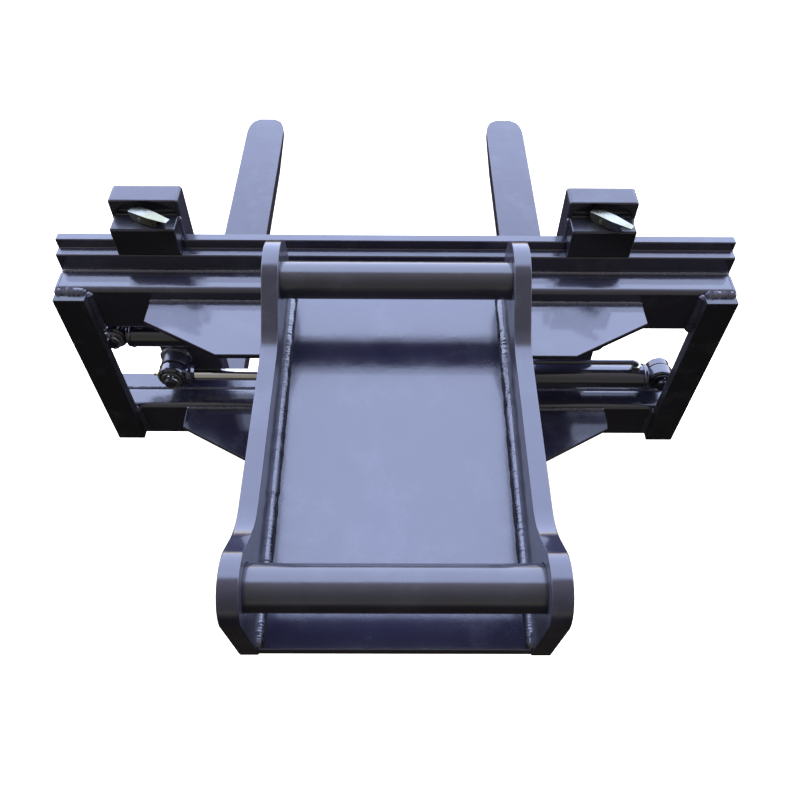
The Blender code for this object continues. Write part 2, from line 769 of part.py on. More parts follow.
def make_fork_stud(model, side, body):
    """The boss welded to the shank's back, with the stud that carries the rod's eye."""
    shoulder = CYLINDER_Y + EYE_WIDTH / 2.0 + GAP
    chamfer = 0.002
    profile = [
        (0.0, 0.0),
        (0.0, STUD_BOSS_RADIUS),
        (shoulder + chamfer, STUD_BOSS_RADIUS),
        (shoulder, STUD_BOSS_RADIUS - chamfer),
        (shoulder, STUD_RADIUS),
        (STUD_END + chamfer, STUD_RADIUS),
        (STUD_END, STUD_RADIUS - chamfer),
        (STUD_END, 0.0),
    ]
    name = side + "_fork_stud"
    location = (rod_eye_shift(side), 0.0, CYLINDER_Z[side])
    stud = model.piece(name, turned(name, "Y", profile, 32), "fork_paint", body, location)
    hole = clip_hole_mesh(name + "_hole")
    model.boolean(stud, hole, "DIFFERENCE", body, (location[0], CLIP_Y, location[2]))
    make_retainer(model, side + "_rod_eye", body, location[0], location[2])


def rod_eye_shift(side):
    """Where the rod's eye sits, from the fork's centre: outboard of it on both forks."""
    return -ROD_EYE_OFFSET if side == "left" else ROD_EYE_OFFSET


def along_direction(side):
    """The direction from a cylinder's base eye towards its rod: the left fork's runs to -X."""
    return -1.0 if side == "left" else 1.0


def base_eye_x(side):
    return -along_direction(side) * BASE_EYE_X


def eye_ring_mesh(name, radius):
    bore = STUD_RADIUS + STUD_CLEARANCE
    half = EYE_WIDTH / 2.0
    chamfer = 0.003
    profile = [
        (-half, bore),
        (-half, radius - chamfer),
        (-half + chamfer, radius),
        (half - chamfer, radius),
        (half, radius - chamfer),
        (half, bore),
    ]
    return turned(name, "Y", profile, 32)


def make_base_eye(model, side, parent, location):
    """The eye and the end cap that close the barrel."""
    direction = along_direction(side)
    name = side + "_cylinder_base_eye"
    eye = model.piece(name, eye_ring_mesh(name, BASE_EYE_RADIUS), "paint", parent, location)
    neck = [
        (direction * (STUD_RADIUS + 0.008), 0.0),
        (direction * (STUD_RADIUS + 0.008), EYE_NECK_RADIUS),
        (direction * 0.026, EYE_NECK_RADIUS),
        (direction * 0.030, BARREL_RADIUS),
        (direction * (BARREL_START - GAP), BARREL_RADIUS),
        (direction * (BARREL_START - GAP), 0.0),
    ]
    model.boolean(eye, turned(name + "_neck", "X", neck), "UNION", parent, location)


def make_barrel(model, side, parent, location):
    direction = along_direction(side)
    name = side + "_cylinder_barrel"
    profile = [
        (direction * BARREL_START, BORE_RADIUS),
        (direction * BARREL_START, BARREL_RADIUS),
        (direction * BARREL_END, BARREL_RADIUS),
        (direction * BARREL_END, BORE_RADIUS),
    ]
    barrel = model.piece(name, turned(name, "X", profile), "paint", parent, location)
    boss = [
        (BARREL_RADIUS - 0.003, 0.0),
        (BARREL_RADIUS - 0.003, PORT_RADIUS),
        (PORT_HEIGHT, PORT_RADIUS),
        (PORT_HEIGHT, 0.0),
    ]
    for distance in (BASE_PORT, HEAD_PORT):
        place = (location[0] + direction * distance, location[1], location[2])
        model.boolean(barrel, turned(name + "_port", "Z", boss, 20), "UNION", parent, place)


def make_gland(model, side, parent, location):
    direction = along_direction(side)
    inner = ROD_RADIUS + STUD_CLEARANCE
    spigot = BORE_RADIUS - GAP
    collar = BARREL_RADIUS + 0.001
    name = side + "_cylinder_gland"
    profile = [
        (direction * GLAND_INNER, inner),
        (direction * GLAND_INNER, spigot),
        (direction * (BARREL_END + GAP), spigot),
        (direction * (BARREL_END + GAP), collar),
        (direction * (GLAND_OUTER - 0.002), collar),
        (direction * GLAND_OUTER, collar - 0.002),
        (direction * GLAND_OUTER, inner),
    ]
    model.piece(name, turned(name, "X", profile), "paint", parent, location)


def make_pipe(model, side, parent, location):
    """The steel pipe that rises from the base port and runs along the top of the barrel."""
    direction = along_direction(side)
    start = PORT_HEIGHT + GAP
    high = start + PIPE_RISE + PIPE_BEND
    path = [(direction * BASE_PORT, 0.0, start)]
    for across, height in arc((BASE_PORT + PIPE_BEND, high - PIPE_BEND), PIPE_BEND, 180.0, 90.0, 5):
        path.append((direction * across, 0.0, height))
    path.append((direction * PIPE_END, 0.0, high))
    name = side + "_cylinder_pipe"
    model.piece(name, swept(name, path, PIPE_RADIUS, 12), "paint", parent, location)


def make_anchor(model, side, parent, location):
    """The lug that holds a cylinder's base: it stands on the lower bar or hangs from the upper one."""
    x, _, z = location
    name = side + "_anchor_lug"
    if side == "left":
        root = LOWER_BAR_TOP + GAP
        crown = arc((x, z), LUG_HALF_WIDTH, 0.0, 180.0, 12)
    else:
        root = UPPER_BAR_BOTTOM - GAP
        crown = arc((x, z), LUG_HALF_WIDTH, 0.0, -180.0, 12)
    outline = [(x - LUG_HALF_WIDTH, root), (x + LUG_HALF_WIDTH, root)] + crown
    model.piece(name, extruded(name, "XZ", outline, LUG_REAR, LUG_FRONT), "paint", parent)
    name = side + "_anchor_stud"
    stud = model.piece(name, stud_mesh(name, LUG_REAR - GAP), "paint", parent, (x, 0.0, z))
    model.boolean(stud, clip_hole_mesh(name + "_hole"), "DIFFERENCE", parent, (x, CLIP_Y, z))
    make_retainer(model, side + "_base_eye", parent, x, z)


def make_cylinder(model, side, carriage):
    location = (base_eye_x(side), CYLINDER_Y, CYLINDER_Z[side])
    make_base_eye(model, side, carriage, location)
    make_barrel(model, side, carriage, location)
    make_gland(model, side, carriage, location)
    make_pipe(model, side, carriage, location)
    make_anchor(model, side, carriage, location)


def make_rod(model, side, body):
    """The rod, its piston and its eye, which move with the fork. Their X is from the fork's centre."""
    direction = along_direction(side)
    location = (rod_eye_shift(side), CYLINDER_Y, CYLINDER_Z[side])
    boss_start = 0.045
    name = side + "_rod_eye"
    eye = model.piece(name, eye_ring_mesh(name, ROD_EYE_RADIUS), "paint", body, location)
    neck = [
        (-direction * (STUD_RADIUS + 0.008), 0.0),
        (-direction * (STUD_RADIUS + 0.008), EYE_NECK_RADIUS),
        (-direction * 0.026, EYE_NECK_RADIUS),
        (-direction * 0.030, 0.019),
        (-direction * (boss_start - 0.002), 0.019),
        (-direction * boss_start, 0.017),
        (-direction * boss_start, 0.0),
    ]
    model.boolean(eye, turned(name + "_neck", "X", neck), "UNION", body, location)
    name = side + "_rod"
    profile = [
        (-direction * (boss_start + GAP), 0.0),
        (-direction * (boss_start + GAP), ROD_RADIUS),
        (-direction * ROD_LENGTH_FROM_EYE, ROD_RADIUS),
        (-direction * ROD_LENGTH_FROM_EYE, 0.0),
    ]
    model.piece(name, turned(name, "X", profile), "chrome", body, location)
    name = side + "_piston"
    profile = [
        (-direction * (ROD_LENGTH_FROM_EYE - PISTON_LENGTH), ROD_RADIUS + GAP),
        (-direction * (ROD_LENGTH_FROM_EYE - PISTON_LENGTH), BORE_RADIUS - GAP),
        (-direction * ROD_LENGTH_FROM_EYE, BORE_RADIUS - GAP),
        (-direction * ROD_LENGTH_FROM_EYE, ROD_RADIUS + GAP),
    ]
    model.piece(name, turned(name, "X", profile), "spring_steel", body, location)


# ---------------------------------------------------------------- assembly

def object_middle():
    """Y of the middle of the object's length, from the fork bars' front face."""
    hitch_rear = REAR_PIN[0] - REAR_LOBE_RADIUS
    fork_tip = FORK_THICKNESS + FORK_LENGTH
    return (hitch_rear + fork_tip) / 2.0


def main():
    clear_scene()
    model = Model()
    carriage = model.empty("carriage", (0.0, -object_middle(), 0.0))
    make_tubes(model, carriage)
    make_fork_bars(model, carriage)
    make_uprights(model, carriage)
    make_gussets(model, carriage)
    make_ribs(model, carriage)
    make_ears(model, carriage)
    make_base_plate(model, carriage)
    make_hitch_pins(model, carriage)
    for side, centre in FORK_CENTRES.items():
        make_cylinder(model, side, carriage)
        fork_body = model.empty(side + "_fork_body", (centre, 0.0, 0.0), carriage)
        make_fork(model, side, fork_body)
        make_hooks(model, side, fork_body)
        make_fork_stud(model, side, fork_body)
        make_rod(model, side, fork_body)
        make_lock_spring(model, side, fork_body)
        lock_body = model.empty(side + "_lock_body", (0.0, LOCK_Y, 0.0), fork_body)
        make_lock_pin(model, side, lock_body)
        lever_body = model.empty(side + "_lever_body", (0.0, 0.0, PIVOT_Z), lock_body)
        lever_body.rotation_euler = (0.0, 0.0, LEVER_YAWS[side])
        make_lock_lever(model, side, lever_body)
    bpy.context.view_layer.update()


main()
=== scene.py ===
"""Looks of the pallet-fork attachment: paint, zinc and chrome, weld beads, fittings, floor, light and camera.

Everything is in metres in the row frame. Local Y runs from the fork bars' front face, as BAR_FACE says.
"""

import json
import math

import bmesh
import bpy
import numpy as np
from mathutils import Matrix, Vector


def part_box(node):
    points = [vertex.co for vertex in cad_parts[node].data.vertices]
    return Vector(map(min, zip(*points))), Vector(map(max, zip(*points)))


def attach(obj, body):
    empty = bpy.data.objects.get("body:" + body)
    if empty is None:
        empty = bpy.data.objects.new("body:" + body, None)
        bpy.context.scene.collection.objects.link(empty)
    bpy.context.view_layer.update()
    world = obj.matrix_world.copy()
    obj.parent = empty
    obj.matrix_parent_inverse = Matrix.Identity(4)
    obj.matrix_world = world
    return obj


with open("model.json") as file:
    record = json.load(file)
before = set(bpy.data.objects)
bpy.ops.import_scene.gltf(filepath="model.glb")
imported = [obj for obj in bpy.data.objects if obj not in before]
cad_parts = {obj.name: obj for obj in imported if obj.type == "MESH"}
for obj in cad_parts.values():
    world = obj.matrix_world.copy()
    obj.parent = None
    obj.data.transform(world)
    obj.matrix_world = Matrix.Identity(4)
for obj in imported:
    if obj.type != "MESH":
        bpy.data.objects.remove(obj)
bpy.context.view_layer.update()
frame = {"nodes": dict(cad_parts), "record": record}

SIDES = {"left": -1.0, "right": 1.0}
BAR_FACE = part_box("upper_fork_bar")[1].y      # row-frame Y of the bars' front face
TUBE_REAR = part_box("upper_tube")[0].y - BAR_FACE
BAR_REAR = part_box("upper_fork_bar")[0].y - BAR_FACE
FRAME_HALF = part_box("upper_fork_bar")[1].x
EAR_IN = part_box("right_ear")[0].x
EAR_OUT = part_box("right_ear")[1].x
PLATE_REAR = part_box("base_plate")[0].y - BAR_FACE
PLATE_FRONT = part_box("base_plate")[1].y - BAR_FACE
PLATE_SLOPE = math.tan(math.radians(5.5))     # the base plate rises towards the bars
GUSSET_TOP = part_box("upper_gusset")[1].z


def at(x, y, z):
    """A point given with Y from the bars' front face, in the row frame."""
    return Vector((x, y + BAR_FACE, z))


def plate_top(y):
    """Height of the sloping base plate's upper face."""
    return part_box("base_plate")[1].z - (PLATE_FRONT - y) * PLATE_SLOPE


# ---------------------------------------------------------------- materials

def mix_colours(tree, factor, first, second):
    """A colour between two others, each a tuple or a socket."""
    made = tree.nodes.new("ShaderNodeMix")
    made.data_type = "RGBA"
    tree.links.new(factor, made.inputs["Factor"])
    for key, colour in (("A", first), ("B", second)):
        socket = [s for s in made.inputs if s.name == key and s.type == "RGBA"][0]
        if isinstance(colour, tuple):
            socket.default_value = (*colour, 1.0)
        else:
            tree.links.new(colour, socket)
    return [s for s in made.outputs if s.type == "RGBA"][0]


class Graph:
    """A material with short calls for its nodes and links."""

    def __init__(self, name):
        self.material = bpy.data.materials.new(name)
        self.material.use_nodes = True
        self.tree = self.material.node_tree
        self.shader = self.tree.nodes["Principled BSDF"]
        places = self.tree.nodes.new("ShaderNodeTexCoord")
        self.coords = places.outputs["Object"]
        self.facing = places.outputs["Normal"]

    def link(self, source, target):
        self.tree.links.new(source, target)

    def node(self, kind, **settings):
        made = self.tree.nodes.new(kind)
        for key, value in settings.items():
            setattr(made, key, value)
        return made

    def stretched(self, scale):
        mapping = self.node("ShaderNodeMapping")
        mapping.inputs["Scale"].default_value = scale
        self.link(self.coords, mapping.inputs["Vector"])
        return mapping.outputs["Vector"]

    def noise(self, scale, detail=3.0, rough=0.5, vector=None):
        made = self.node("ShaderNodeTexNoise")
        made.inputs["Scale"].default_value = scale
        made.inputs["Detail"].default_value = detail
        made.inputs["Roughness"].default_value = rough
        self.link(vector or self.coords, made.inputs["Vector"])
        return made.outputs["Fac"]

    def specks(self, scale, size):
        """1 at the middle of scattered dots and 0 between them."""
        made = self.node("ShaderNodeTexVoronoi")
        made.inputs["Scale"].default_value = scale
        self.link(self.coords, made.inputs["Vector"])
        return self.remap(made.outputs["Distance"], 0.0, size, 1.0, 0.0)

    def remap(self, value, low, high, to_low, to_high):
        made = self.node("ShaderNodeMapRange")
        for key, number in (("From Min", low), ("From Max", high), ("To Min", to_low), ("To Max", to_high)):
            made.inputs[key].default_value = number
        self.link(value, made.inputs["Value"])
        return made.outputs["Result"]

    def times(self, first, second):
        made = self.node("ShaderNodeMath", operation="MULTIPLY")
        self.link(first, made.inputs[0])
        self.link(second, made.inputs[1])
        return made.outputs[0]

    def mix(self, factor, first, second):
        return mix_colours(self.tree, factor, first, second)

    def bump(self, height, strength, distance, under=None):
        made = self.node("ShaderNodeBump")
        made.inputs["Strength"].default_value = strength
        made.inputs["Distance"].default_value = distance
        self.link(height, made.inputs["Height"])
        if under:
            self.link(under, made.inputs["Normal"])
        return made.outputs["Normal"]

    def finish(self, colour, roughness, normal, **numbers):
        self.link(colour, self.shader.inputs["Base Color"])
        self.link(roughness, self.shader.inputs["Roughness"])
        self.link(normal, self.shader.inputs["Normal"])
        for key, number in numbers.items():
            self.shader.inputs[key.replace("_", " ")].default_value = number
        return self.material


def paint(name, dark, light, gloss, peel, dust, shine=1.0, coat=0.65, lean=0.0, dull_sides=0.0):
    """Sprayed enamel: cloudy tone, orange peel, a slow waviness and a few dust nibs.

    Gloss is the range of the roughness, and shine is the specular level.
    Lean tips the shading of level faces by so many degrees, so that they mirror a higher part of the sky.
    Dull_sides adds roughness on faces across X, so that they mirror less than the rest.
    """
    graph = Graph(name)
    cloud = graph.remap(graph.noise(4.0, 4.0, 0.6), 0.35, 0.65, 0.0, 1.0)
    nibs = graph.times(graph.specks(95.0, 0.075), graph.remap(graph.noise(9.0, 2.0), 0.50, 0.62, 0.0, 1.0))
    film = graph.remap(graph.noise(14.0, 5.0, 0.65), 0.52, 0.80, 0.0, dust)
    colour = graph.mix(cloud, dark, light)
    colour = graph.mix(film, colour, (0.20, 0.20, 0.235))
    rough = graph.remap(graph.noise(22.0, 4.0, 0.6), 0.30, 0.75, gloss[0], gloss[1])
    if dull_sides:
        facing = graph.node("ShaderNodeSeparateXYZ")
        graph.link(graph.facing, facing.inputs[0])
        across = graph.node("ShaderNodeMath", operation="ABSOLUTE")
        graph.link(facing.outputs["X"], across.inputs[0])
        added = graph.node("ShaderNodeMath", operation="ADD")
        graph.link(rough, added.inputs[0])
        graph.link(graph.remap(across.outputs[0], 0.5, 0.9, 0.0, dull_sides), added.inputs[1])
        rough = added.outputs[0]
    normal = graph.bump(graph.noise(16.0, 2.0, 0.5), 0.30, 0.0016)
    normal = graph.bump(graph.noise(210.0, 2.0, 0.55), peel, 0.00045, normal)
    normal = graph.bump(nibs, 0.5, 0.0005, normal)
    if lean:
        split = graph.node("ShaderNodeSeparateXYZ")
        graph.link(graph.coords, split.inputs[0])
        normal = graph.bump(split.outputs["Y"], 1.0, math.tan(math.radians(lean)), normal)
    numbers = {"Specular_IOR_Level": shine, "Coat_Weight": coat, "Coat_Roughness": 0.10}
    return graph.finish(colour, rough, normal, **numbers)


def metal(name, first, second, gloss, grain, grain_strength):
    """Bare or plated steel: two tones in soft patches and fine lines along the grain."""
    graph = Graph(name)
    patches = graph.remap(graph.noise(30.0, 4.0, 0.6), 0.38, 0.62, 0.0, 1.0)
    lines = graph.noise(1.0, 3.0, 0.6, graph.stretched(grain))
    rough = graph.remap(lines, 0.3, 0.7, gloss[0], gloss[1])
    normal = graph.bump(lines, grain_strength, 0.0002)
    normal = graph.bump(graph.noise(240.0, 2.0), grain_strength, 0.0002, normal)
    return graph.finish(graph.mix(patches, first, second), rough, normal, Metallic=1.0)


def floor_material():
    """A glowing white, whose warm base colour evens out the sky's blue."""
    graph = Graph("floor")
    tone = graph.mix(graph.noise(0.6, 3.0), (0.86, 0.74, 0.46), (0.90, 0.77, 0.48))
    normal = graph.bump(graph.noise(40.0, 3.0), 0.05, 0.001)
    graph.shader.inputs["Emission Color"].default_value = (1.0, 1.0, 1.0, 1.0)
    return graph.finish(tone, graph.noise(3.0, 2.0), normal, Emission_Strength=1.10)


LOOKS = {
    "paint": paint(
        "paint", (0.020, 0.0195, 0.034), (0.027, 0.0255, 0.045), (0.13, 0.22), peel=0.20, dust=0.20,
    ),
    "ear_paint": paint(
        "ear_paint", (0.020, 0.0195, 0.034), (0.026, 0.025, 0.044), (0.13, 0.22),
        peel=0.20, dust=0.20, shine=0.85, coat=0.55, dull_sides=0.40,
    ),
    # Darker and less blue than the other enamel: painted shade, a shaded copy for the uprights, whose faces
    # stand in shade.
    "upright_shaded_paint": paint(
        "upright_shaded_paint", (0.016, 0.016, 0.021), (0.021, 0.021, 0.028), (0.16, 0.26),
        peel=0.20, dust=0.20, shine=0.60, coat=0.25, dull_sides=0.45,
    ),
    "plate_paint": paint(
        "plate_paint", (0.021, 0.020, 0.042), (0.027, 0.025, 0.050), (0.13, 0.22),
        peel=0.20, dust=0.20, lean=2.6,
    ),
    "frame_paint": paint(
        "frame_paint", (0.021, 0.020, 0.038), (0.027, 0.025, 0.047), (0.12, 0.22),
        peel=0.16, dust=0.20, lean=9.5,
    ),
    "tube_paint": paint(
        "tube_paint", (0.020, 0.020, 0.034), (0.026, 0.025, 0.043), (0.12, 0.22),
        peel=0.20, dust=0.20, lean=10.0,
    ),
    "pin_paint": paint(
        "pin_paint", (0.022, 0.021, 0.030), (0.027, 0.026, 0.036), (0.15, 0.26),
        peel=0.20, dust=0.12, shine=0.90, coat=0.50,
    ),
    "fork_paint": paint(
        "fork_paint", (0.027, 0.0255, 0.037), (0.035, 0.033, 0.046), (0.26, 0.40),
        peel=0.30, dust=0.18, shine=0.57, coat=0.35,
    ),
    # Near black and neutral: painted shade, a shaded copy of the same enamel for the hooks and for parts that
    # sit in shadow.
    "shade_black_paint": paint(
        "shade_black_paint", (0.013, 0.013, 0.016), (0.017, 0.017, 0.022), (0.24, 0.40),
        peel=0.35, dust=0.10, shine=0.50, coat=0.30,
    ),
    # Near black, for the line along the plate beads' toes: painted shade standing in for the shadow in an
    # undercut groove.
    "groove_shade_black": paint(
        "groove_shade_black", (0.004, 0.004, 0.004), (0.008, 0.008, 0.007), (0.50, 0.75),
        peel=0.60, dust=0.05, shine=0.20, coat=0.0,
    ),
    # About twice as light as the enamel that coats the beads: a painted highlight on the lumps. Their bumps
    # and roughness are real.
    "weld": paint(
        "weld_lightened_paint", (0.030, 0.029, 0.052), (0.055, 0.053, 0.085), (0.20, 0.36), peel=0.80, dust=0.20,
    ),
    "chrome": metal(
        "chrome", (0.80, 0.80, 0.78), (0.86, 0.86, 0.84), (0.05, 0.10),
        grain=(20.0, 1400.0, 1400.0), grain_strength=0.03,
    ),
    "zinc": metal(
        "zinc", (0.50, 0.51, 0.47), (0.42, 0.42, 0.30), (0.26, 0.42),
        grain=(300.0, 900.0, 900.0), grain_strength=0.25,
    ),
    # Much lighter than the zinc elsewhere: a painted highlight, a lit copy of the zinc for the right base
    # eye's washer and clip.
    "lit_zinc": metal(
        "lit_zinc", (0.86, 0.86, 0.84), (0.78, 0.78, 0.76), (0.22, 0.40),
        grain=(300.0, 900.0, 900.0), grain_strength=0.20,
    ),
    "lever_zinc": metal(
        "lever_zinc", (0.36, 0.37, 0.33), (0.27, 0.27, 0.17), (0.20, 0.38),
        grain=(300.0, 900.0, 900.0), grain_strength=0.35,
    ),
    "spring_steel": metal(
        "spring_steel", (0.30, 0.30, 0.31), (0.40, 0.40, 0.41), (0.25, 0.40),
        grain=(300.0, 300.0, 300.0), grain_strength=0.10,
    ),
    "brass": metal(
        "brass", (0.62, 0.45, 0.20), (0.70, 0.54, 0.30), (0.22, 0.35),
        grain=(500.0, 500.0, 500.0), grain_strength=0.10,
    ),
}

CAD_LOOKS = {entry["node"]: entry["material_slot"] for entry in frame["record"]["subparts"]}
SPECIAL_LOOKS = {                # looks for the nodes whose names end like this
    "tube": "tube_paint",
    "gusset": "frame_paint",
    "fork_bar": "frame_paint",
    "plate": "plate_paint",
    "upright": "upright_shaded_paint",
    "_ear": "ear_paint",
    "hitch_pin": "pin_paint",
    "_hook": "shade_black_paint",
    "lock_lever": "lever_zinc",
    "right_base_eye_washer": "lit_zinc",
    "right_base_eye_clip": "lit_zinc",
    # The left base eye's zinc washer, clip and stud take the near-black paint: painted shade, as they sit in
    # shadow under the upper tube.
    "left_base_eye_washer": "shade_black_paint",
    "left_base_eye_clip": "shade_black_paint",
    "left_anchor_stud": "shade_black_paint",
}


# ---------------------------------------------------------------- CAD nodes

def tidy_faces_group():
    """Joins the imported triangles' corners, and keeps an edge sharp where it turns by over 35 degrees."""
    group = bpy.data.node_groups.new("tidy_faces", "GeometryNodeTree")
    group.interface.new_socket("Geometry", in_out="INPUT", socket_type="NodeSocketGeometry")
    group.interface.new_socket("Geometry", in_out="OUTPUT", socket_type="NodeSocketGeometry")
    nodes = group.nodes
    start = nodes.new("NodeGroupInput")
    plain = nodes.new("GeometryNodeRemoveAttribute")
    plain.inputs["Name"].default_value = "custom_normal"
    merge = nodes.new("GeometryNodeMergeByDistance")
    merge.inputs["Distance"].default_value = 0.00001
    smooth = nodes.new("GeometryNodeSetShadeSmooth")
    smooth.domain = "FACE"
    smooth.inputs["Shade Smooth"].default_value = True
    sharp = nodes.new("GeometryNodeSetShadeSmooth")
    sharp.domain = "EDGE"
    sharp.inputs["Shade Smooth"].default_value = False
    angle = nodes.new("GeometryNodeInputMeshEdgeAngle")
    above = nodes.new("FunctionNodeCompare")
    above.operation = "GREATER_THAN"
    above.inputs[1].default_value = math.radians(35.0)
    end = nodes.new("NodeGroupOutput")
    chain = (start, plain, merge, smooth, sharp, end)
    for near, far in zip(chain, chain[1:]):
        group.links.new(near.outputs[0], far.inputs[0])
    group.links.new(angle.outputs["Unsigned Angle"], above.inputs[0])
    group.links.new(above.outputs[0], sharp.inputs["Selection"])
    return group


TIDY_FACES = tidy_faces_group()

BEVELS = {
    "ear": 0.0016,
    "base_plate": 0.0012,
    "gusset": 0.0012,
    "rib": 0.0012,
    "fork_bar": 0.0012,
    "upright": 0.0010,
    "tube": 0.0006,
    "cap": 0.0006,
    "upper_hook": 0.0022,
    "lower_hook": 0.0022,
    "lug": 0.0014,
    "hitch_pin": 0.0006,
    "rod_eye": 0.0050,
    "base_eye": 0.0012,
    "barrel": 0.0008,
    "gland": 0.0008,
    "stud": 0.0008,
    "lever": 0.0005,
    "washer": 0.0005,
}


def bevel_width(name):
    if name.endswith("_fork"):
        return 0.0030
    for key, width in BEVELS.items():
        if name.endswith(key):
            return width
    return 0.0


def dress_cad_nodes():
    for name, item in frame["nodes"].items():
        look = LOOKS[CAD_LOOKS[name]]
        for key, special in SPECIAL_LOOKS.items():
            if name.endswith(key):
                look = LOOKS[special]
        for slot in item.material_slots:
            slot.material = look
        tidy = item.modifiers.new("tidy_faces", "NODES")
        tidy.node_group = TIDY_FACES
        flat = item.modifiers.new("flat_faces", "DECIMATE")
        flat.decimate_type = "DISSOLVE"
        flat.angle_limit = math.radians(0.4)
        width = bevel_width(name)
        if width:
            bevel = item.modifiers.new("bevel", "BEVEL")
            bevel.limit_method = "ANGLE"
            bevel.angle_limit = math.radians(36.0)
            bevel.width = width
            bevel.segments = 3
            bevel.use_clamp_overlap = False
        weighted = item.modifiers.new("weighted_normals", "WEIGHTED_NORMAL")
        weighted.keep_sharp = True


# ---------------------------------------------------------------- new pieces

def add_piece(name, bm, look, body):
    bmesh.ops.recalc_face_normals(bm, faces=bm.faces)
    mesh = bpy.data.meshes.new(name)
    bm.to_mesh(mesh)
    bm.free()
    mesh.shade_smooth()
    mesh.set_sharp_from_angle(angle=math.radians(50))
    mesh.materials.append(LOOKS[look])
    item = bpy.data.objects.new(name, mesh)
    bpy.context.scene.collection.objects.link(item)
    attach(item, body)
    return item


def wander(rng, count, span):
    """A smooth random line between -1 and 1 with a knot every span points."""
    knots = rng.uniform(-1.0, 1.0, int(count / span) + 4)
    places = np.arange(count) / span
    low = places.astype(int)
    ease = places - low
    ease = ease * ease * (3.0 - 2.0 * ease)
    return knots[low] * (1.0 - ease) + knots[low + 1] * ease


class Seam:
    """A path with the two directions that lead away from its corner along the joined faces."""

    def __init__(self, points, along_a, along_b, closed=False):
        self.points = points
        self.along_a = along_a
        self.along_b = along_b
        self.closed = closed

    def rings(self, step):
        """Evenly spaced (point, direction a, direction b) along the path."""
        ends = self.points[1:] + ([self.points[0]] if self.closed else [])
        made = []
        for index, (near, far) in enumerate(zip(self.points, ends)):
            count = max(1, round((far - near).length / step))
            after = (index + 1) % len(self.points)
            for part in range(count):
                share = part / count
                a = self.direction(self.along_a, index).lerp(self.direction(self.along_a, after), share)
                b = self.direction(self.along_b, index).lerp(self.direction(self.along_b, after), share)
                made.append((near.lerp(far, share), a.normalized(), b.normalized()))
        if not self.closed:
            last = len(self.points) - 1
            made.append(
                (self.points[-1], self.direction(self.along_a, last), self.direction(self.along_b, last)),
            )
        return made

    @staticmethod
    def direction(which, index):
        return which[index] if isinstance(which, list) else which


RING_STEP = 0.0009               # from one cross-section of a bead to the next
SECTION = 7                      # points across a bead's outer face
BEAD_SINK = 0.0006               # how far a bead's root and toes sink into the steel
FLATNESS = 0.42                  # 1 gives a bead a flat face, and 0 a round one
MID_CHORD = 0.7071               # from the root to the middle of a flat face, for a leg of 1
LUMPS = 0.10                     # slow changes of size, as a share of the leg like the next three
RIPPLES = 0.06
PITS = 0.07
UNEVEN_TOES = 0.11
PLATE_BEAD = 0.0074              # leg of the beads between the base plate and the ears
TOE_LINE = 0.0024                # leg of the black line along those beads' toes, a painted shade of an undercut groove


def weld_bead(bm, seam, leg, seed, rough=1.0, pitch=0.0042):
    """A rippled fillet along a seam, with uneven toes and ends that run out."""
    rng = np.random.default_rng(seed)
    rings = seam.rings(RING_STEP)
    count = len(rings)
    lump = wander(rng, count, 16.0)
    pits = wander(rng, count, 2.2) * np.clip(wander(rng, count, 11.0) + 0.3, 0.0, 1.0)
    toe_a = wander(rng, count, 4.5)
    toe_b = wander(rng, count, 4.0)
    pace = 1.0 + 0.55 * wander(rng, count, 9.0)
    phase = np.cumsum(pace) * RING_STEP / pitch * 2.0 * math.pi
    loops = []
    for i, (point, a, b) in enumerate(rings):
        run_out = 1.0 if seam.closed else min(1.0, 0.45 + 0.11 * min(i, count - 1 - i))
        size = leg * run_out * (1.0 + LUMPS * rough * lump[i])
        loop = [bm.verts.new(point - (a + b) * BEAD_SINK)]
        for j in range(SECTION):
            turn = math.pi / 2.0 * j / (SECTION - 1)
            bend = (turn - math.pi / 4.0) / (math.pi / 4.0)
            flat = MID_CHORD / math.cos(turn - math.pi / 4.0)
            ripple = abs(math.sin(phase[i] / 2.0 + 0.9 * bend * bend)) - 0.6
            reach = size * (FLATNESS * flat + 1.0 - FLATNESS)
            reach += leg * RIPPLES * rough * ripple * (1.0 - 0.5 * abs(bend))
            reach += leg * PITS * rough * pits[i] * (1.0 - bend * bend)
            if j == 0:
                reach += leg * UNEVEN_TOES * rough * toe_a[i]
            if j == SECTION - 1:
                reach += leg * UNEVEN_TOES * rough * toe_b[i]
            place = point + a * reach * math.cos(turn) + b * reach * math.sin(turn)
            if j == 0:
                place -= b * BEAD_SINK
            if j == SECTION - 1:
                place -= a * BEAD_SINK
            loop.append(bm.verts.new(place))
        loops.append(loop)
    width = SECTION + 1
    pairs = list(zip(loops, loops[1:]))
    if seam.closed:
        pairs.append((loops[-1], loops[0]))
    else:
        bm.faces.new(loops[0])
        bm.faces.new(loops[-1])
    for near, far in pairs:
        for i in range(width):
            j = (i + 1) % width
            bm.faces.new((near[i], near[j], far[j], far[i]))


def weld_piece(name, body, seams, leg, seed, rough=1.0, look="weld"):
    """One piece with a bead along each seam, each bead with a seed of its own."""
    bm = bmesh.new()
    for number, seam in enumerate(seams):
        weld_bead(bm, seam, leg, seed + number, rough)
    return add_piece(name, bm, look, body)


X_AXIS = Vector((1.0, 0.0, 0.0))
Y_AXIS = Vector((0.0, 1.0, 0.0))
Z_AXIS = Vector((0.0, 0.0, 1.0))


def line(start, end, along_a, along_b):
    """A straight seam between two points given with local Y."""
    return Seam([at(*start), at(*end)], along_a, along_b)


def ring_seam(centre, axis, radius, steps=40):
    """A circle round an axis, where a boss stands on a face: one way is outward, the other along the axis."""
    side = axis.orthogonal().normalized()
    up = axis.cross(side)
    outward = [
        side * math.cos(2.0 * math.pi * step / steps) + up * math.sin(2.0 * math.pi * step / steps)
        for step in range(steps)
    ]
    return Seam([centre + ray * radius for ray in outward], outward, axis, closed=True)


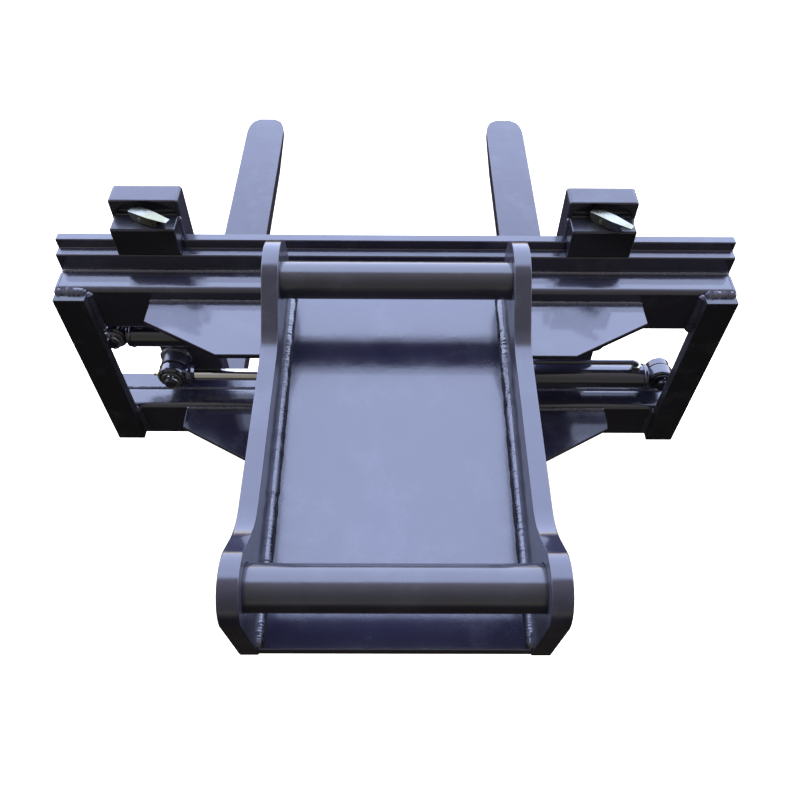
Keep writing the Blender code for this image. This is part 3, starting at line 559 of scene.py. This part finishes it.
def make_hitch_welds():
    """Ears on the base plate, the upper gusset and its tube, and the hitch pins' ends in the ears."""
    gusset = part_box("upper_gusset")
    gusset_rear = gusset[0].y - BAR_FACE
    for side, sign in SIDES.items():
        inner = sign * EAR_IN
        outer = sign * EAR_OUT
        out = X_AXIS * sign
        rear = PLATE_REAR + 0.002
        front = PLATE_FRONT - 0.005
        plate_seam = line((inner, rear, plate_top(rear)), (inner, front, plate_top(front)), -out, Z_AXIS)
        weld_piece(
            side + "_ear_plate_weld", "carriage", [plate_seam], PLATE_BEAD, 11 if side == "left" else 23,
            rough=1.3,
        )
        # A thin black bead along each plate bead's toe: painted shade of an undercut groove.
        toe = inner - sign * PLATE_BEAD
        toe_seam = line((toe, rear, plate_top(rear)), (toe, front, plate_top(front)), -out, Z_AXIS)
        weld_piece(
            side + "_ear_toe_groove_shade", "carriage", [toe_seam], TOE_LINE, 15 if side == "left" else 27,
            rough=3.0, look="groove_shade_black",
        )
        outside = [
            line((outer, gusset_rear, gusset[1].z), (outer, TUBE_REAR, gusset[1].z), out, Z_AXIS),
            line((outer, TUBE_REAR, gusset[1].z), (outer, TUBE_REAR, gusset[1].z + 0.022), out, -Y_AXIS),
        ]
        weld_piece(side + "_ear_foot_weld", "carriage", outside, 0.0075, 31 if side == "left" else 41)
        pins = []
        for pin in ("front_hitch_pin", "rear_hitch_pin"):
            low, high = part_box(pin)
            centre = (low + high) / 2.0
            centre.x = outer
            pins.append(ring_seam(centre, out, (high.z - low.z) / 2.0))
        weld_piece(side + "_pin_end_weld", "carriage", pins, 0.0016, 51 if side == "left" else 61)


def make_frame_welds():
    """Gussets and bars on the two box tubes."""
    for number, level in enumerate(("upper", "lower")):
        low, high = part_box(level + "_gusset")
        half = high.x
        inner = EAR_OUT if level == "upper" else 0.0
        tops = [
            line((sign * half, TUBE_REAR, high.z), (sign * inner, TUBE_REAR, high.z), -Y_AXIS, Z_AXIS)
            for sign in SIDES.values()
        ]
        weld_piece(level + "_gusset_weld", "carriage", tops, 0.0042, 70 + 5 * number, rough=1.2)
        under = [line((-half, TUBE_REAR, low.z), (half, TUBE_REAR, low.z), -Y_AXIS, -Z_AXIS)]
        weld_piece(level + "_gusset_under_weld", "carriage", under, 0.0060, 72 + 5 * number)
        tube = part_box(level + "_tube")
        seam_z = tube[1].z - 0.004
        groove = [line((-FRAME_HALF, BAR_REAR, seam_z), (FRAME_HALF, BAR_REAR, seam_z), -Y_AXIS, Z_AXIS)]
        weld_piece(level + "_bar_weld", "carriage", groove, 0.0048, 84 + number, rough=0.7)


def make_upright_welds():
    """Uprights on the two tubes: across the top, down the inner side and across the foot."""
    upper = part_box("upper_tube")
    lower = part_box("lower_tube")
    for side, sign in SIDES.items():
        low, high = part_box(side + "_upright")
        inner = low.x if sign > 0 else high.x
        outer = high.x if sign > 0 else low.x
        inward = X_AXIS * -sign
        top = line((inner, TUBE_REAR, high.z), (outer, TUBE_REAR, high.z), -Y_AXIS, Z_AXIS)
        weld_piece(
            side + "_upright_top_weld", "carriage", [top], 0.0095, 91 if side == "left" else 96, rough=1.5,
        )
        seams = [
            line((inner, TUBE_REAR, high.z), (inner, TUBE_REAR, upper[0].z), inward, -Y_AXIS),
            line((inner, TUBE_REAR, lower[1].z - 0.004), (inner, TUBE_REAR, low.z), inward, -Y_AXIS),
        ]
        weld_piece(
            side + "_upright_side_weld", "carriage", seams, 0.0085, 101 if side == "left" else 106,
            rough=0.7,
        )
        foot = line((inner, TUBE_REAR, low.z), (outer, TUBE_REAR, low.z), -Y_AXIS, -Z_AXIS)
        weld_piece(side + "_upright_foot_weld", "carriage", [foot], 0.0080, 111 if side == "left" else 116)


def make_rib_welds():
    """Ribs on the gussets above and below them."""
    for side, sign in SIDES.items():
        low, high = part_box(side + "_rib")
        rear = low.y - BAR_FACE
        seams = []
        for x, out in ((low.x, -X_AXIS), (high.x, X_AXIS)):
            seams.append(line((x, rear, high.z), (x, TUBE_REAR, high.z), out, -Z_AXIS))
            seams.append(line((x, rear, low.z), (x, TUBE_REAR, low.z), out, Z_AXIS))
        weld_piece(side + "_rib_weld", "carriage", seams, 0.0060, 121 if side == "left" else 131)


def make_fork_welds():
    """Hooks on the shanks, and the rod eyes' studs on the shanks."""
    for side in SIDES:
        body = side + "_fork"
        seams = []
        for hook in ("_upper_hook", "_lower_hook"):
            low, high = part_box(side + hook)
            for x, out in ((low.x, -X_AXIS), (high.x, X_AXIS)):
                seams.append(line((x, 0.0, low.z + 0.002), (x, 0.0, high.z - 0.002), out, -Y_AXIS))
        weld_piece(side + "_hook_weld", body, seams, 0.0046, 141 if side == "left" else 151)
        low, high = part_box(side + "_fork_stud")
        centre = (low + high) / 2.0
        centre.y = BAR_FACE
        boss = ring_seam(centre, -Y_AXIS, (high.z - low.z) / 2.0)
        weld_piece(side + "_boss_weld", body, [boss], 0.0060, 161 if side == "left" else 171)


def make_lug_welds():
    """Anchor lugs on the frame, and the cylinders' barrels on their base eyes."""
    for side in SIDES:
        low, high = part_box(side + "_anchor_lug")
        stands = side == "left"
        z = low.z if stands else high.z
        corners = [(low.x, low.y), (high.x, low.y), (high.x, high.y), (low.x, high.y)]
        points = []
        outward = []
        for index, (x, y) in enumerate(corners):
            before = (index - 1) % 4
            faces = (-Y_AXIS, X_AXIS, Y_AXIS, -X_AXIS)
            for which in (before, index):
                points.append(Vector((x, y, z)) + faces[which] * 0.0002)
                outward.append(faces[which])
        seam = Seam(points, outward, Z_AXIS if stands else -Z_AXIS, closed=True)
        weld_piece(side + "_lug_weld", "carriage", [seam], 0.0060, 181 if stands else 191)
        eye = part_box(side + "_cylinder_base_eye")
        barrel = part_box(side + "_cylinder_barrel")
        toward = -1.0 if stands else 1.0
        centre = (eye[0] + eye[1]) / 2.0
        centre.x = barrel[1].x if stands else barrel[0].x
        radius = (barrel[1].y - barrel[0].y) / 2.0
        cap = ring_seam(centre, X_AXIS * -toward, radius - 0.0015, 32)
        weld_piece(side + "_barrel_weld", "carriage", [cap], 0.0036, 201 if stands else 211, rough=0.6)


def spatter(name, body, zone, count, seed):
    """Small drops of weld metal that stuck to a flat face."""
    rng = np.random.default_rng(seed)
    bm = bmesh.new()
    (x0, y0), (x1, y1), z = zone
    for _ in range(count):
        radius = float(rng.uniform(0.0004, 0.0010))
        spot = Matrix.Translation(at(float(rng.uniform(x0, x1)), float(rng.uniform(y0, y1)), z))
        squash = Matrix.Diagonal((1.0, 1.0, 0.7, 1.0))
        bmesh.ops.create_icosphere(bm, subdivisions=2, radius=radius, matrix=spot @ squash)
    return add_piece(name, bm, "weld", body)


def make_spatter():
    """Spatter on the upper gusset beside its weld, more of it on the left."""
    rear = TUBE_REAR - 0.030
    front = TUBE_REAR - 0.010
    near = 0.205
    far = 0.430
    left_zone = ((-far, rear), (-near, front), GUSSET_TOP)
    right_zone = ((near, rear), (far, front), GUSSET_TOP)
    spatter("upper_gusset_spatter_left", "carriage", left_zone, 40, 301)
    spatter("upper_gusset_spatter_right", "carriage", right_zone, 24, 302)


HEXAGON = 6


def lathe(bm, origin, axis, profile, segments):
    """Adds a closed body of revolution from (distance, radius) pairs that start and end on the axis."""
    side = axis.orthogonal().normalized()
    up = axis.cross(side)
    rings = []
    for along, radius in profile:
        if radius == 0.0:
            rings.append([bm.verts.new(origin + axis * along)])
            continue
        ring = []
        for step in range(segments):
            angle = 2.0 * math.pi * step / segments
            ray = side * math.cos(angle) + up * math.sin(angle)
            ring.append(bm.verts.new(origin + axis * along + ray * radius))
        rings.append(ring)
    for near, far in zip(rings, rings[1:]):
        for i in range(segments):
            j = (i + 1) % segments
            if len(near) == 1:
                bm.faces.new((near[0], far[i], far[j]))
            elif len(far) == 1:
                bm.faces.new((near[i], far[0], near[j]))
            else:
                bm.faces.new((near[i], far[i], far[j], near[j]))


def grease_nipple(name, body, origin, axis):
    """A hexagon foot, a neck and a ball head."""
    bm = bmesh.new()
    lathe(
        bm, origin, axis,
        [(-0.002, 0.0), (-0.002, 0.0045), (0.0032, 0.0045), (0.0038, 0.0040), (0.0038, 0.0)], HEXAGON,
    )
    head = [(0.0036, 0.0), (0.0036, 0.0030), (0.0062, 0.0022), (0.0070, 0.0022), (0.0080, 0.0033)]
    head += [(0.0092, 0.0033), (0.0104, 0.0020), (0.0106, 0.0)]
    lathe(bm, origin, axis, head, 16)
    return add_piece(name, bm, "brass", body)


def nut_profile(low, high, radius):
    """A lathe profile between two distances along the axis, with both rims broken."""
    edge = 0.0008
    near = [(low, 0.0), (low, radius - edge), (low + edge, radius)]
    return near + [(high - edge, radius), (high, radius - edge), (high, 0.0)]


PORT_SINK = 0.001                # how far a fitting's foot goes into the barrel
HEAD_PORT = 0.018                # from the barrel's head end to the port there


def make_fittings():
    """Grease nipples on the eyes, union nuts on the pipes and plugs in the open ports."""
    for side in SIDES:
        toward = -1.0 if side == "left" else 1.0
        eyes = (("_rod_eye", side + "_fork", toward), ("_cylinder_base_eye", "carriage", -toward))
        for eye, body, out in eyes:
            low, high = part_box(side + eye)
            place = (low + high) / 2.0
            place.x = low.x if out < 0 else high.x
            grease_nipple(side + eye + "_nipple", body, place, X_AXIS * out)
        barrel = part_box(side + "_cylinder_barrel")
        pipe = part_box(side + "_cylinder_pipe")
        axis_y = (barrel[0].y + barrel[1].y) / 2.0
        port_top = barrel[1].z
        start_x = pipe[1].x - 0.005 if side == "left" else pipe[0].x + 0.005
        end_x = pipe[0].x if side == "left" else pipe[1].x
        head_x = barrel[0].x + HEAD_PORT if side == "left" else barrel[1].x - HEAD_PORT
        base_port = Vector((start_x, axis_y, port_top - PORT_SINK))
        head_port = Vector((head_x, axis_y, port_top - PORT_SINK))
        run = Vector((end_x, axis_y, pipe[1].z - 0.005))
        bm = bmesh.new()
        lathe(bm, base_port, Z_AXIS, nut_profile(0.0, 0.0075, 0.0098), HEXAGON)
        # union nut, round stub and plug where the pipe ends
        lathe(bm, run, X_AXIS * toward, nut_profile(-0.014, -0.001, 0.0095), HEXAGON)
        lathe(bm, run, X_AXIS * toward, nut_profile(-0.002, 0.010, 0.0080), 20)
        lathe(bm, run, X_AXIS * toward, nut_profile(0.009, 0.015, 0.0090), HEXAGON)
        lathe(bm, head_port, Z_AXIS, nut_profile(0.0, 0.0065, 0.0085), HEXAGON)
        item = add_piece(side + "_pipe_fittings", bm, "zinc", "carriage")
        item.data.set_sharp_from_angle(angle=math.radians(30))


# ---------------------------------------------------------------- floor, light and camera

def make_floor():
    """A white sheet just under the forks, which the paint neither mirrors nor takes light from."""
    bm = bmesh.new()
    reach = 45.0
    depth = -0.0006
    corners = [(-reach, -reach), (reach, -reach), (reach, reach), (-reach, reach)]
    bm.faces.new([bm.verts.new((x, y, depth)) for x, y in corners])
    mesh = bpy.data.meshes.new("floor")
    bm.to_mesh(mesh)
    bm.free()
    mesh.materials.append(floor_material())
    floor = bpy.data.objects.new("floor", mesh)
    bpy.context.scene.collection.objects.link(floor)
    floor.visible_glossy = False
    floor.visible_diffuse = False


FRONT_SKY = (2.70, 3.12, 4.65)
BACK_SKY_HIGH = (0.62, 0.59, 0.62)
BACK_SKY_LOW = (0.24, 0.235, 0.215)
HORIZON = (3.4, 3.1, 2.7)
GROUND_FAR = (0.36, 0.33, 0.26)
GROUND_NEAR = (0.020, 0.018, 0.016)


def make_light():
    """One broad soft light over the forks, from straight above down to the horizon, and little elsewhere."""
    world = bpy.data.worlds.new("studio")
    bpy.context.scene.world = world
    world.use_nodes = True
    tree = world.node_tree
    coords = tree.nodes.new("ShaderNodeTexCoord")
    split = tree.nodes.new("ShaderNodeSeparateXYZ")
    tree.links.new(coords.outputs["Generated"], split.inputs[0])

    def ramp(socket, low, high):
        made = tree.nodes.new("ShaderNodeMapRange")
        made.interpolation_type = "SMOOTHSTEP"
        made.inputs["From Min"].default_value = low
        made.inputs["From Max"].default_value = high
        tree.links.new(socket, made.inputs["Value"])
        return made.outputs["Result"]

    forward = split.outputs["Y"]
    height = split.outputs["Z"]
    front = ramp(forward, -0.08, 0.15)
    glow = tree.nodes.new("ShaderNodeMath")
    glow.operation = "MULTIPLY"
    tree.links.new(front, glow.inputs[0])
    tree.links.new(ramp(height, 0.16, 0.04), glow.inputs[1])
    back = mix_colours(tree, ramp(forward, -1.0, 0.0), BACK_SKY_LOW, BACK_SKY_HIGH)
    sky = mix_colours(tree, front, back, FRONT_SKY)
    sky = mix_colours(tree, glow.outputs[0], sky, HORIZON)
    ground = mix_colours(tree, ramp(height, -0.45, 0.0), GROUND_NEAR, GROUND_FAR)
    colour = mix_colours(tree, ramp(height, -0.02, 0.02), ground, sky)
    tree.links.new(colour, tree.nodes["Background"].inputs["Color"])


CAMERA_PLACE = (-0.0003, -1.0582, 1.4568)
CAMERA_PITCH = math.radians(51.87)
CAMERA_YAW = math.radians(0.52)
CAMERA_ROLL = math.radians(0.64)
CAMERA_LENS = 33.99


def make_camera():
    data = bpy.data.cameras.new("camera")
    data.sensor_width = 36.0
    data.lens = CAMERA_LENS
    data.clip_end = 60.0
    camera = bpy.data.objects.new("camera", data)
    bpy.context.scene.collection.objects.link(camera)
    level = math.cos(CAMERA_PITCH)
    ahead = Vector((math.sin(CAMERA_YAW) * level, math.cos(CAMERA_YAW) * level, -math.sin(CAMERA_PITCH)))
    right = Vector((math.cos(CAMERA_YAW), -math.sin(CAMERA_YAW), 0.0))
    up = right.cross(ahead)
    rolled = right * math.cos(CAMERA_ROLL) + up * math.sin(CAMERA_ROLL)
    above = rolled.cross(ahead)
    turn = Matrix((rolled, above, -ahead)).transposed()
    camera.matrix_world = Matrix.Translation(at(*CAMERA_PLACE)) @ turn.to_4x4()
    bpy.context.scene.camera = camera


make_camera()
make_floor()
make_light()
bpy.context.scene.view_settings.view_transform = "Standard"

dress_cad_nodes()
make_hitch_welds()
make_frame_welds()
make_upright_welds()
make_rib_welds()
make_fork_welds()
make_lug_welds()
make_spatter()
make_fittings()
